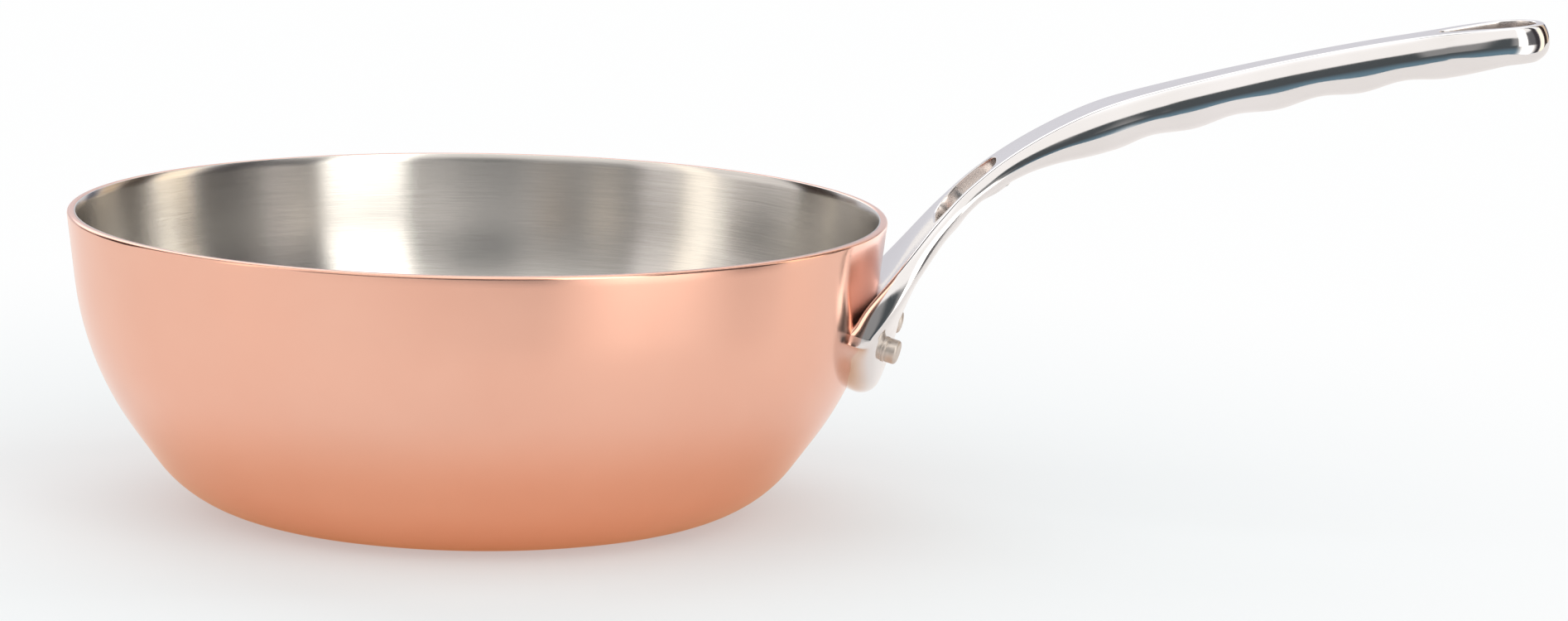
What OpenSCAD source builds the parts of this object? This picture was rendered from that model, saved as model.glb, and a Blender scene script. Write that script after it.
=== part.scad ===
// Conical saucepan: a copper bowl with a thin steel lining and one cast steel
// handle, held to the wall by two rivets. All lengths are millimetres.
// The origin is the centre of the base, on the surface that the pan stands on.
// The handle points along +X and the rim faces +Z.

/* [Bowl] */
// Diameter over the outside of the rim
rim_d = 240; // [200:1:300]
// Height of the rim above the base
bowl_h = 87.4; // [76:0.2:120]
// Thickness of the whole wall, copper and lining together
wall_t = 2.5; // [1.6:0.1:4]
// Thickness of the steel lining alone
lining_t = 0.3; // [0.2:0.05:0.8]
// Lean of the upper wall from the vertical, in degrees
flare_angle = 6.9; // [3:0.1:12]
// Lean of the lower wall from the vertical, in degrees
haunch_angle = 36.1; // [30:0.1:42]
// Outside radius between the upper and the lower wall
shoulder_r = 91; // [60:1:100]
// Length of the straight stretch of the lower wall
haunch_len = 11.2; // [2:0.2:20]
// Outside radius between the lower wall and the base
heel_r = 37.5; // [25:0.5:45]
// Rounding of the outer edge of the rim
rim_round = 0.8; // [0.3:0.1:1]

/* [Handle] */
// Length of the handle's top line, from where it leaves the wall to its tip
handle_len = 225.8; // [180:0.2:280]
// Height on the wall where the handle leaves it
leave_h = 60; // [58:0.5:66]
// Width of the foot across the wall
foot_w = 71.4; // [64:0.2:80]
// How far the foot's rounded end reaches below its widest part
foot_reach = 18.4; // [17:0.2:22]
// Thickness of the foot
foot_t = 8; // [6.5:0.1:10]
// Thickness of the neck, beside the window
neck_t = 5.8; // [4.5:0.1:8]
// How much thicker the foot's narrowing is at its sides than in its middle
thick_sides = 1.3; // [0:0.1:2]
// Width of the flat top along the grip
grip_w = 12.4; // [10:0.2:18]
// Thickness of the grip between its finger hollows
grip_t = 14.2; // [11:0.1:18]
// Width of the flat top round the hanging slot
end_w = 21.6; // [20:0.2:28]
// Thickness at the tip
end_t = 12.4; // [10:0.1:16]
// How far the sides of the grip swell past its flat top
grip_swell = 3; // [1:0.1:5]
// How far the sides of the tip swell past its flat top
end_swell = 1.8; // [0.8:0.1:3]
// Depth of the finger hollows under the grip
hollow_depth = 1.4; // [0.4:0.1:2.5]
// Number of finger hollows
hollow_count = 4; // [3:1:5]

/* [Window and slot] */
// Length of the window through the neck
window_len = 24.7; // [18:0.1:26]
// Width of the window at its end nearest the bowl
window_foot_w = 34; // [24:0.2:35]
// Width of the window at its other end
window_top_w = 30.4; // [20:0.2:31]
// Radius of the window's corners
window_r = 8.6; // [3:0.1:8.8]
// Distance from where the handle leaves the wall to the middle of the window
window_at = 46.2; // [44:0.1:48]
// Width of the hanging slot at its round end
slot_w = 17; // [12:0.2:17.4]
// Length of the hanging slot
slot_len = 28; // [20:0.2:34]
// Width of the hanging slot at its narrow end
slot_tip_w = 4.4; // [3:0.2:8]

/* [Rivets] */
// Distance between the two rivets
rivet_gap = 48; // [44:0.2:52]
// Height of the rivets' axes on the outside of the wall
rivet_h = 56; // [54.5:0.1:57.5]
// Diameter of the rivets' shanks
rivet_d = 6.5; // [5:0.1:7]
// Diameter of the low collar at the stub's root, outside the foot
collar_d = 7.5; // [7.3:0.1:9]
// Height of the collar
collar_h = 0.9; // [0.4:0.1:1.4]
// Diameter of the stub that stands on the collar
stub_d = 7.1; // [6.2:0.1:7.2]
// Length of collar and stub together
stub_len = 4.4; // [3:0.1:7]
// Rounding of the stub's end
stub_round = 0.9; // [0.4:0.1:2]
// Diameter of the low dome inside the bowl
dome_d = 13; // [10:0.2:15]
// Height of the dome inside the bowl
dome_h = 2; // [1.2:0.1:3]

/* [Hidden] */

copper_color = [0.87, 0.58, 0.45];
lining_color = [0.66, 0.64, 0.61];
cast_color = [0.80, 0.80, 0.81];
rivet_color = [0.72, 0.68, 0.64];

$fn = 96;
overrun = 1;

// Bowl: the outside is a chain of straight lines and arcs that meet smoothly
rim_r = rim_d / 2;
copper_t = wall_t - lining_t;
shoulder_drop = shoulder_r * (sin(haunch_angle) - sin(flare_angle));
haunch_drop = haunch_len * cos(haunch_angle);
heel_drop = heel_r * (1 - sin(haunch_angle));
upper_foot_z = shoulder_drop + haunch_drop + heel_drop;
haunch_top_z = haunch_drop + heel_drop;
haunch_foot_z = heel_drop;
upper_foot_r = rim_r - (bowl_h - upper_foot_z) * tan(flare_angle);
shoulder_c = [upper_foot_r, upper_foot_z] - shoulder_r * out_of(flare_angle);
haunch_top = shoulder_c + shoulder_r * out_of(haunch_angle);
haunch_foot = haunch_top - haunch_len * [sin(haunch_angle), cos(haunch_angle)];
heel_c = haunch_foot - heel_r * out_of(haunch_angle);
base_r = heel_c[0];

// Outward direction of a wall that leans by this angle, in the profile's plane
function out_of(lean) = [cos(lean), -sin(lean)];

// Outside radius of the bowl at a height
function wall_r(z) =
    z >= upper_foot_z ? rim_r - (bowl_h - z) * tan(flare_angle) :
    z >= haunch_top_z ? shoulder_c[0] + sqrt(pow(shoulder_r, 2) - pow(z - shoulder_c[1], 2)) :
    z >= haunch_foot_z ? haunch_top[0] - (haunch_top_z - z) * tan(haunch_angle) :
    base_r + sqrt(pow(heel_r, 2) - pow(z - heel_r, 2));

// Lean of the outside wall from the vertical at a height
function wall_lean(z) =
    z >= upper_foot_z ? flare_angle :
    z >= haunch_top_z ? asin((shoulder_c[1] - z) / shoulder_r) :
    z >= haunch_foot_z ? haunch_angle :
    asin((heel_r - z) / heel_r);

// Handle: shares of its length, and the slope, width and thickness there
bend_at_share = [0, 0.04, 0.10, 0.17, 0.24, 0.31, 0.38, 0.45, 0.52, 0.64, 0.80, 0.92, 1];
bend_angle = concat([90 - wall_lean(leave_h)],
    [58, 57.5, 51, 40, 32, 26, 17.5, 15.5, 13.5, 10.5, 7.5, 2.5]);
flare_at_share = [0, 0.06, 0.105, 0.147, 0.187, 0.222, 0.27, 0.33, 0.38, 0.42, 0.47, 0.55, 0.66, 1];
flare_share = [1, 0.975, 0.85, 0.67, 0.50, 0.40, 0.30, 0.225, 0.19, 0.15, 0.09, 0.045, 0, 0];
paddle_at_share = [0, 0.82, 0.855, 0.89, 0.92, 0.945, 1];
paddle_share = [0, 0, 0.22, 0.68, 0.93, 1, 1];
neck_at_share = [0, 0.03, 0.055, 0.085, 1];
neck_share = [0, 0, 0.5, 1, 1];
grip_at_share = [0, 0.15, 0.22, 0.26, 0.30, 0.34, 0.37, 0.40, 0.45, 0.70, 0.80, 0.87, 0.94, 1];
grip_share = [0, 0, 0.07, 0.19, 0.355, 0.60, 0.81, 0.925, 1, 1, 0.82, 0.62, 0, 0];
swell_at_share = [0, 0.10, 0.25, 0.40, 0.85, 0.94, 1];
swell_share = [0.5, 0.45, 0.5, 1, 1, 0, 0];
wrap_at_share = [0, 0.04, 0.11, 0.15, 0.19, 0.25, 1];
wrap_share = [1, 0.85, 0.5, 0.4, 0.22, 0.0001, 0.0001];
square_at_share = [0, 0.08, 0.125, 0.25, 1];
square_power = [8, 8, 4.2, 2.6, 2.5];
thick_sides_at_share = [0, 0.03, 0.06, 0.09, 0.14, 1];
thick_sides_share = [0, 0.4, 1, 0.55, 0, 0];
hollow_first_share = 0.411;
hollow_pitch_share = 0.112;
// Share of the full thickness at which a section is widest
waist_share = 0.42;

handle_steps = 64;
spine_steps = 450;
spine_step = handle_len / spine_steps;
tip_c = handle_len - end_w / 2 - end_swell;
tip_turns = [14, 28, 42, 56, 70, 82];
top_steps = 10;
side_steps = 2;
under_steps = top_steps + 2 * side_steps + 1;
spread_power = 3;

// Foot: half an ellipse below its widest part, its outer edge rounded
foot_straight = 3;
foot_round = 5.2;
// Largest share of the drop that the rounding may take, near the foot's sides
foot_round_share = 0.8;
foot_round_steps = 4;
foot_steps = 4;
// How deep the foot is drawn into the wall before the wall is cut out of it
foot_sink = 1.2;
foot_sink_len = 2.2 * foot_sink;
// Depth of the flat that each rivet's collar sits on, below the foot's outside
seat_depth = 0.5;
seat_clear = 0.3;

// Which pair of knots a value lies between
function knot(x, xs, i = 0) = i >= len(xs) - 2 || x < xs[i + 1] ? i : knot(x, xs, i + 1);

// Gradient of a table at one of its knots
function gradient(xs, ys, i) =
    i == 0 ? (ys[1] - ys[0]) / (xs[1] - xs[0]) :
    i == len(xs) - 1 ? (ys[i] - ys[i - 1]) / (xs[i] - xs[i - 1]) :
    (ys[i + 1] - ys[i - 1]) / (xs[i + 1] - xs[i - 1]);

// Smooth curve through a table's values
function smooth_at(x, xs, ys) =
    let (i = knot(x, xs), w = xs[i + 1] - xs[i], t = (x - xs[i]) / w,
         a = gradient(xs, ys, i) * w, b = gradient(xs, ys, i + 1) * w)
    (2 * pow(t, 3) - 3 * pow(t, 2) + 1) * ys[i] + (pow(t, 3) - 2 * pow(t, 2) + t) * a
    + (3 * pow(t, 2) - 2 * pow(t, 3)) * ys[i + 1] + (pow(t, 3) - pow(t, 2)) * b;

// Straight lines through a table's values, for shares that must not overshoot
function share_at(u, xs, ys) = lookup(u, [for (i = [0:len(xs) - 1]) [xs[i], ys[i]]]);

// The spine: the middle of the handle's top face, as [reach, height, slope]
spine = [for (i = 0, x = wall_r(leave_h), z = leave_h, a = 90 - wall_lean(leave_h);
    i <= spine_steps;
    m = smooth_at((i + 0.5) / spine_steps, bend_at_share, bend_angle),
    x = x + spine_step * cos(m), z = z + spine_step * sin(m), i = i + 1,
    a = smooth_at(min(i / spine_steps, 1), bend_at_share, bend_angle)) [x, z, a]];

// Below the leaving point the spine follows the outside of the wall
function spine_at(s) =
    s < 0 ? [wall_r(leave_h + s), leave_h + s, 90 - wall_lean(leave_h + s)] :
    let (k = min(floor(s / spine_step), spine_steps - 1), t = s / spine_step - k)
    (1 - t) * spine[k] + t * spine[k + 1];

function half_w(u) = (grip_w + (foot_w - grip_w) * smooth_at(u, flare_at_share, flare_share)
    + (end_w - grip_w) * smooth_at(u, paddle_at_share, paddle_share)) / 2;

function hollow(u) =
    let (n = (u - hollow_first_share) / hollow_pitch_share)
    n <= 0 || n >= hollow_count ? 0 : hollow_depth * (1 - cos(360 * n)) / 2;

function full_thickness(u) =
    let (thin = foot_t + (neck_t - foot_t) * smooth_at(u, neck_at_share, neck_share),
         base = u > 0.5 ? end_t : thin)
    base + (grip_t - base) * smooth_at(u, grip_at_share, grip_share);

function thickness(u) = full_thickness(u) - hollow(u);

function swell(u) =
    let (low = u > 0.5 ? end_swell : 0)
    low + (grip_swell - low) * smooth_at(u, swell_at_share, swell_share);

// Signed power, which spreads the underside's points evenly round its corners
function bend(v, n) = sign(v) * pow(abs(v), 2 / n);

// One closed section as [across, down] points: over the top, then back under
function section(u) =
    let (w = half_w(u), t = thickness(u), b = swell(u), waist = waist_share * full_thickness(u),
         n = smooth_at(u, square_at_share, square_power),
         extra = thick_sides * share_at(u, thick_sides_at_share, thick_sides_share))
    concat(
        [for (i = [0:side_steps]) let (q = 1 - i / (side_steps + 1))
            [-w - b * (1 - pow(1 - q, 2)), waist * q]],
        [for (i = [0:top_steps]) [-w * cos(180 * i / top_steps), 0]],
        [for (i = [side_steps:-1:0]) let (q = 1 - i / (side_steps + 1))
            [w + b * (1 - pow(1 - q, 2)), waist * q]],
        [for (i = [1:under_steps])
            let (v = bend(cos(180 * i / (under_steps + 1)), spread_power),
                 deep = t - waist + extra * pow(v, 2))
            [(w + b) * v, waist + deep * pow(1 - pow(abs(v), n), 1 / n)]]);

// A section point placed along the spine; near the wall it wraps round the bowl
function placed(s, v, h, t) =
    let (p = spine_at(s), u = max(s, 0) / handle_len,
         wrap = share_at(u, wrap_at_share, wrap_share), r = p[0] / wrap,
         sink = foot_sink * (1 - min(max(s, 0) / foot_sink_len, 1)),
         down = h - sink * (1 - h / t), a = asin(v / r))
    [p[0] - r + (r + down * sin(p[2])) * cos(a), (r + down * sin(p[2])) * sin(a),
     p[1] - down * cos(p[2])];

// How far the foot reaches below the leaving point, across its width
function foot_drop(v) =
    foot_straight + foot_reach * sqrt(max(1 - pow(v / (foot_w / 2), 2), 0));

// Radius of the rounding along the foot's end, smaller near its sides
function end_round(v) = min(foot_round, foot_round_share * foot_drop(v));

function foot_ring(down_share) =
    let (t = thickness(0))
    [for (p = section(0))
        placed(-(foot_drop(p[0]) - end_round(p[0])) * down_share, p[0], p[1], t)];

function foot_round_ring(turn) =
    let (t = thickness(0))
    [for (p = section(0)) let (r = end_round(p[0]), thin = (t - r * (1 - cos(turn))) / t)
        placed(-(foot_drop(p[0]) - r * (1 - sin(turn))), p[0], p[1] * thin, t)];

function body_ring(s) =
    let (u = s / handle_len, t = thickness(u)) [for (p = section(u)) placed(s, p[0], p[1], t)];

// The tip is half a section turned round the middle of the hanging slot's end
function tip_ring(turn) =
    let (u = tip_c / handle_len, t = thickness(u))
    [for (p = section(u)) placed(tip_c + abs(p[0]) * sin(turn), p[0] * cos(turn), p[1], t)];

function quad(a, b, c, d) = [[a, b, c], [a, c, d]];

// Strip across the first ring, from one of its m points to the one opposite
function cap(m, first) =
    let (on = function (j) (first + j) % m, back = function (j) (first - j + m) % m)
    concat([[on(1), first, back(1)]],
        [for (j = [1:m / 2 - 2]) each quad(on(j + 1), on(j), back(j), back(j + 1))],
        [[on(m / 2), on(m / 2 - 1), back(m / 2 - 1)]]);

// Skin through a list of equal rings, closed by a strip across each end
module loft(rings) {
    m = len(rings[0]);
    last = (len(rings) - 1) * m;
    walls = [for (i = [0:len(rings) - 2]) for (j = [0:m - 1])
        each quad(i * m + j, i * m + (j + 1) % m, (i + 1) * m + (j + 1) % m, (i + 1) * m + j)];
    far_cap = [for (f = cap(m, m / 4)) [f[2] + last, f[1] + last, f[0] + last]];
    polyhedron([for (ring = rings) each ring], concat(walls, cap(m, 0), far_cap), convexity = 10);
}

// Where two round corners of an outline are joined by a straight side
function side_between(p, q) =
    let (d = q[0] - p[0], a = atan2(d[1], d[0]) - acos((p[1] - q[1]) / norm(d)),
         n = [cos(a), sin(a)])
    [p[0] + p[1] * n, q[0] + q[1] * n];

// Outline round a ring of corners, each given as [centre, radius]
module rounded_outline(corners) {
    n = len(corners);
    polygon([for (i = [0:n - 1]) each side_between(corners[i], corners[(i + 1) % n])]);
    for (c = corners) translate(c[0]) circle(c[1]);
}

// Cutter square to the handle's top face at a distance along it
module cut_through(s) {
    p = spine_at(s);
    reach = grip_t + overrun;
    translate([p[0], 0, p[1]]) rotate([0, -p[2], 0])
        translate([0, 0, -2 * reach]) linear_extrude(3 * reach) children();
}

module window_outline() {
    along = window_len / 2 - window_r;
    rounded_outline([
        [[-along, -(window_foot_w / 2 - window_r)], window_r],
        [[along, -(window_top_w / 2 - window_r)], window_r],
        [[along, window_top_w / 2 - window_r], window_r],
        [[-along, window_foot_w / 2 - window_r], window_r]]);
}

// The round end's middle is the middle of the tip, so the rim stays even there
module slot_outline() {
    rounded_outline([
        [[0, 0], slot_w / 2],
        [[-(slot_len - slot_w / 2 - slot_tip_w / 2), 0], slot_tip_w / 2]]);
}

// Pie-shaped piece of a disc between two leans of the wall
module arc_sector(c, r, from_lean, to_lean) {
    far = 2 * r;
    intersection() {
        translate(c) circle(r, $fn = 360);
        polygon([c, c + far * out_of(from_lean), c + far * out_of(to_lean)]);
    }
}

// Half profile of everything inside the wall's face that lies this deep
module bowl_profile(depth, top) {
    top_r = wall_r(bowl_h) - depth / cos(flare_angle) + (top - bowl_h) * tan(flare_angle);
    polygon([[0, depth], [base_r, depth],
        heel_c + (heel_r - depth) * out_of(haunch_angle),
        shoulder_c + (shoulder_r - depth) * out_of(haunch_angle),
        shoulder_c + (shoulder_r - depth) * out_of(flare_angle),
        [top_r, top], [0, top]]);
    arc_sector(shoulder_c, shoulder_r - depth, flare_angle, haunch_angle);
    arc_sector(heel_c, heel_r - depth, haunch_angle, 90);
}

// What the rounding takes off the outer edge of the rim
module rim_corner() {
    c = [rim_r - rim_round * (1 / cos(flare_angle) + tan(flare_angle)), bowl_h - rim_round];
    out = rim_round + overrun;
    difference() {
        polygon([c, c + [0, out], c + [out + overrun, out], c + out * out_of(flare_angle)]);
        translate(c) circle(rim_round);
    }
}

module bowl_solid() {
    rotate_extrude($fn = 180) bowl_profile(0, bowl_h);
}

// Everything that follows stands on the rivet's axis, pointing out of the wall
module on_rivet(side) {
    rotate([0, 0, side * asin(rivet_gap / (2 * wall_r(rivet_h)))])
        translate([wall_r(rivet_h), 0, rivet_h])
            rotate([0, 90 + wall_lean(rivet_h), 0]) children();
}

seat_z = foot_t - seat_depth;
// The dome's flat rim rests on the curve of the wall
dome_z = wall_t + pow(dome_d / 2, 2) / (2 * (shoulder_r - wall_t));

module rivet_bores() {
    for (side = [-1, 1]) on_rivet(side)
        translate([0, 0, -wall_t - overrun]) cylinder(d = rivet_d, h = wall_t + foot_t + 2 * overrun);
}

module copper_shell() {
    color(copper_color) difference() {
        rotate_extrude($fn = 180) difference() {
            bowl_profile(0, bowl_h);
            bowl_profile(copper_t, bowl_h + overrun);
            rim_corner();
        }
        rivet_bores();
    }
}

module steel_lining() {
    color(lining_color) difference() {
        rotate_extrude($fn = 180) difference() {
            bowl_profile(copper_t, bowl_h);
            bowl_profile(wall_t, bowl_h + overrun);
        }
        rivet_bores();
    }
}

module handle() {
    color(cast_color) difference() {
        loft(concat(
            [for (k = [foot_round_steps:-1:1]) foot_round_ring(90 * k / foot_round_steps)],
            [for (k = [foot_steps:-1:1]) foot_ring(k / foot_steps)],
            [for (k = [0:handle_steps]) body_ring(tip_c * k / handle_steps)],
            [for (turn = tip_turns) tip_ring(turn)]));
        bowl_solid();
        cut_through(window_at) window_outline();
        cut_through(tip_c) slot_outline();
        rivet_bores();
        for (side = [-1, 1]) on_rivet(side)
            translate([0, 0, seat_z]) cylinder(d = collar_d + 2 * seat_clear, h = foot_t);
    }
}

// Half profiles of a rivet, along its axis from the bowl's inside outwards
module dome_profile() {
    ball_r = (pow(dome_d / 2, 2) + pow(dome_h, 2)) / (2 * dome_h);
    intersection() {
        translate([0, ball_r - dome_h]) circle(ball_r, $fn = 360);
        translate([0, -dome_h - overrun]) square([dome_d / 2, dome_h + overrun]);
    }
}

module stub_profile() {
    square([collar_d / 2, collar_h]);
    square([stub_d / 2, stub_len - stub_round]);
    square([stub_d / 2 - stub_round, stub_len]);
    intersection() {
        translate([stub_d / 2 - stub_round, stub_len - stub_round]) circle(stub_round);
        square([stub_d, stub_len + overrun]);
    }
}

module rivet(side) {
    color(rivet_color) on_rivet(side) rotate_extrude() {
        translate([0, -dome_z]) dome_profile();
        translate([0, -dome_z]) square([rivet_d / 2, dome_z + seat_z]);
        translate([0, seat_z]) stub_profile();
    }
}

module rivet_near() { rivet(-1); }
module rivet_far() { rivet(1); }

copper_shell();
steel_lining();
handle();
rivet_near();
rivet_far();
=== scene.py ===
# %% [markdown]
# # A copper saucepan with a cast steel handle
#
# The pan has five pieces: a copper shell, a thin steel lining, one cast
# handle and two rivets. A CAD model gives their sizes and places, and it is
# loaded first. Its meshes could simply be given a finish, but polished metal
# shows every flat facet. So the same shapes are built again here, with finer
# curves and softly broken edges.

# %% Load the CAD frame
import math

import bmesh
import bpy
from mathutils import Matrix, Vector


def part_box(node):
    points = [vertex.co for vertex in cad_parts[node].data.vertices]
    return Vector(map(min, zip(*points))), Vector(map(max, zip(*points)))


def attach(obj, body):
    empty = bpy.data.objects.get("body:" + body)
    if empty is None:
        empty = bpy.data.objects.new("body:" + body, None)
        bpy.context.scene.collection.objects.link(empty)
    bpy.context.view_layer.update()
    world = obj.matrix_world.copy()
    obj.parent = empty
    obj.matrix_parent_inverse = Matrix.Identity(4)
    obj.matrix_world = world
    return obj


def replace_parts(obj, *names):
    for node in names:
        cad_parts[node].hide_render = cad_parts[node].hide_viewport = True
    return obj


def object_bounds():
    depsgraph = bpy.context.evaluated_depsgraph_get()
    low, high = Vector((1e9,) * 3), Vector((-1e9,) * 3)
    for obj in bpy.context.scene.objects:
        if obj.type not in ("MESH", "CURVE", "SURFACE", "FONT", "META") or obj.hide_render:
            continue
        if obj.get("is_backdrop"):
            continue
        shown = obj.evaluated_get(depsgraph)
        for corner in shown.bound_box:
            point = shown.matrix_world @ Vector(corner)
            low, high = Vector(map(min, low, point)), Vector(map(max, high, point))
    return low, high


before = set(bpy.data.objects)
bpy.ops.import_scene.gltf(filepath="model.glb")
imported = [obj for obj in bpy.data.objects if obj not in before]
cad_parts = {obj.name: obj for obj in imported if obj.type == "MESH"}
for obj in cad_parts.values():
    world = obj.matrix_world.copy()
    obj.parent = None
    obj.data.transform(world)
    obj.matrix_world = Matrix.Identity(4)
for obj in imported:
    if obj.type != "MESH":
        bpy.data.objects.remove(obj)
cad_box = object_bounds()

print("CAD nodes:", sorted(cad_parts))

# %% [markdown]
# ## From a bmesh to a piece
#
# Each piece is one mesh in the CAD frame, so its object stays at the origin,
# unturned and unscaled. This helper turns a finished bmesh into that object,
# lets it ride on the pan's one body, and hides the CAD node that it replaces.

# %% A helper that turns a bmesh into a piece
def piece(name, bm, node):
    bmesh.ops.recalc_face_normals(bm, faces=bm.faces[:])
    for face in bm.faces:
        face.smooth = True
    mesh = bpy.data.meshes.new(name)
    bm.to_mesh(mesh)
    bm.free()
    made = bpy.data.objects.new(name, mesh)
    bpy.context.scene.collection.objects.link(made)
    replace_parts(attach(made, "root"), node)
    print(f"{name}: {len(mesh.vertices)} vertices, {len(mesh.polygons)} faces")
    return made

# %% [markdown]
# ## The bowl's outline
#
# The real bowl is one disc of copper and steel, pressed or spun over a form.
# Its outside is a chain of straight lines and arcs that meet smoothly: a flat
# base, a heel, a short straight haunch, a wide shoulder and a straight flare
# up to the rim. A free curve could follow it too, but lines and arcs keep the
# real sizes in sight. Everything inside the wall is the same chain, moved
# inwards by a depth, so the middles of its arcs serve every depth.

# %% The bowl's sizes, in metres, and the middles of its arcs
rim_r, bowl_h = 0.120, 0.0874
wall_t, lining_t = 0.0025, 0.0003
copper_t = wall_t - lining_t
flare, haunch = math.radians(6.9), math.radians(36.1)
shoulder_r, haunch_len, heel_r = 0.091, 0.0112, 0.0375
rim_round, edge_break = 0.0008, 0.00012

def out_of(lean):
    """The way straight out of a wall that leans by this angle."""
    return Vector((math.cos(lean), 0, -math.sin(lean)))

haunch_foot_z = heel_r * (1 - math.sin(haunch))
haunch_top_z = haunch_foot_z + haunch_len * math.cos(haunch)
flare_foot_z = haunch_top_z + shoulder_r * (math.sin(haunch) - math.sin(flare))
flare_foot_r = rim_r - (bowl_h - flare_foot_z) * math.tan(flare)
shoulder_c = Vector((flare_foot_r, 0, flare_foot_z)) - shoulder_r * out_of(flare)
haunch_top = shoulder_c + shoulder_r * out_of(haunch)
haunch_foot = haunch_top - haunch_len * Vector((math.sin(haunch), 0, math.cos(haunch)))
heel_c = haunch_foot - heel_r * out_of(haunch)
base_r = heel_c.x
cad_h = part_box("copper_shell")[1].z
print("flat base", round(2000 * base_r, 1), "mm across")
print("height", round(1000 * bowl_h, 1), "mm, and in CAD", round(1000 * cad_h, 1), "mm")

# %% [markdown]
# ## Drawing a profile
#
# A profile is drawn like a pen stroke. `line_to` pulls a new point out of the
# last one, and `arc_about` spins the last point about an arc's middle. A full
# spin of the finished stroke about Z makes the solid, and merging the points
# that meet closes its seam and its poles. Lists of points worked out by hand
# would give the same mesh, but the strokes read like the drawing.

# %% Pen strokes for a profile
def line_to(bm, pen, r, z, steps=1):
    start, end = pen.co.copy(), Vector((r, 0, z))
    for i in range(steps):
        pen = bmesh.ops.extrude_vert_indiv(bm, verts=[pen])["verts"][0]
        pen.co = start.lerp(end, (i + 1) / steps)
    return pen

def arc_about(bm, pen, centre, turn, steps):
    made = bmesh.ops.spin(bm, geom=[pen], cent=centre, axis=(0, 1, 0), angle=turn, steps=steps)
    return [g for g in made["geom_last"] if isinstance(g, bmesh.types.BMVert)][0]

def turned(bm, steps):
    """Turns the profile once round the Z axis and closes its seam and poles."""
    bmesh.ops.spin(bm, geom=bm.verts[:] + bm.edges[:], axis=(0, 0, 1), angle=2 * math.pi,
                   steps=steps, use_merge=True)
    bmesh.ops.remove_doubles(bm, verts=bm.verts[:], dist=1e-6)

# %% The bowl's chain, drawn at any depth inside the wall's face
BASE_STEPS, ARC_STEPS, HAUNCH_STEPS = 6, 14, 3

def on_heel(lean, depth):
    return (heel_c + (heel_r - depth) * out_of(lean)).xz

def on_shoulder(lean, depth):
    return (shoulder_c + (shoulder_r - depth) * out_of(lean)).xz

def on_flare(depth, z):
    """The radius at a height on the flare."""
    return rim_r - depth / math.cos(flare) - (bowl_h - z) * math.tan(flare)

def wall_up(bm, pen, depth):
    """From the middle of the base out and up to the foot of the flare."""
    pen = line_to(bm, pen, base_r, depth, BASE_STEPS)
    pen = arc_about(bm, pen, heel_c, haunch - math.pi / 2, ARC_STEPS)
    pen = line_to(bm, pen, *on_shoulder(haunch, depth), HAUNCH_STEPS)
    return arc_about(bm, pen, shoulder_c, flare - haunch, ARC_STEPS)

def wall_down(bm, pen, depth):
    """The same chain from the foot of the flare back to the middle of the base."""
    pen = arc_about(bm, pen, shoulder_c, haunch - flare, ARC_STEPS)
    pen = line_to(bm, pen, *on_heel(haunch, depth), HAUNCH_STEPS)
    pen = arc_about(bm, pen, heel_c, math.pi / 2 - haunch, ARC_STEPS)
    return line_to(bm, pen, 0, depth, BASE_STEPS)

# %% [markdown]
# ## The copper shell
#
# The shell is the outer 2.2 mm of the wall. It could be a surface with a
# Solidify modifier, but its rim has an edge that is rounded on the outside
# only. So the pen goes up the outside, over that round edge, and back down
# where the copper meets the lining, and the spin turns the closed profile
# into a solid.

# %% The copper shell
SPIN_STEPS, FLARE_STEPS, HIDDEN_STEPS, RIM_STEPS, RIM_FLAT_STEPS = 192, 8, 4, 6, 2
bm = bmesh.new()
pen = wall_up(bm, bm.verts.new((0, 0, 0)), 0)
round_z = bowl_h - rim_round
round_c = Vector((on_flare(rim_round, round_z), 0, round_z))
pen = line_to(bm, pen, *(round_c + rim_round * out_of(flare)).xz, FLARE_STEPS)
pen = arc_about(bm, pen, round_c, -flare - math.pi / 2, RIM_STEPS)
pen = line_to(bm, pen, on_flare(copper_t, bowl_h), bowl_h, RIM_FLAT_STEPS)
pen = line_to(bm, pen, *on_shoulder(flare, copper_t), HIDDEN_STEPS)
wall_down(bm, pen, copper_t)
turned(bm, SPIN_STEPS)
copper_shell = piece("copper_shell_fine", bm, "copper_shell")

# %% [markdown]
# ## The steel lining
#
# The lining is a steel skin 0.3 mm thick, bonded to the inside of the copper.
# Only its inner face and its edge in the rim show. A colour painted on the
# copper's inner face would look much the same from afar, but the thin grey
# line in the rim needs a solid of its own. Its inner edge is slightly broken,
# so that it catches the light.

# %% The steel lining
bm = bmesh.new()
pen = wall_up(bm, bm.verts.new((0, 0, copper_t)), copper_t)
pen = line_to(bm, pen, on_flare(copper_t, bowl_h), bowl_h, HIDDEN_STEPS)
pen = line_to(bm, pen, on_flare(wall_t, bowl_h) + edge_break, bowl_h)
pen = line_to(bm, pen, on_flare(wall_t, bowl_h - edge_break), bowl_h - edge_break)
pen = line_to(bm, pen, *on_shoulder(flare, wall_t), FLARE_STEPS)
wall_down(bm, pen, wall_t)
turned(bm, SPIN_STEPS)
steel_lining = piece("steel_lining_fine", bm, "steel_lining")
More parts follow.
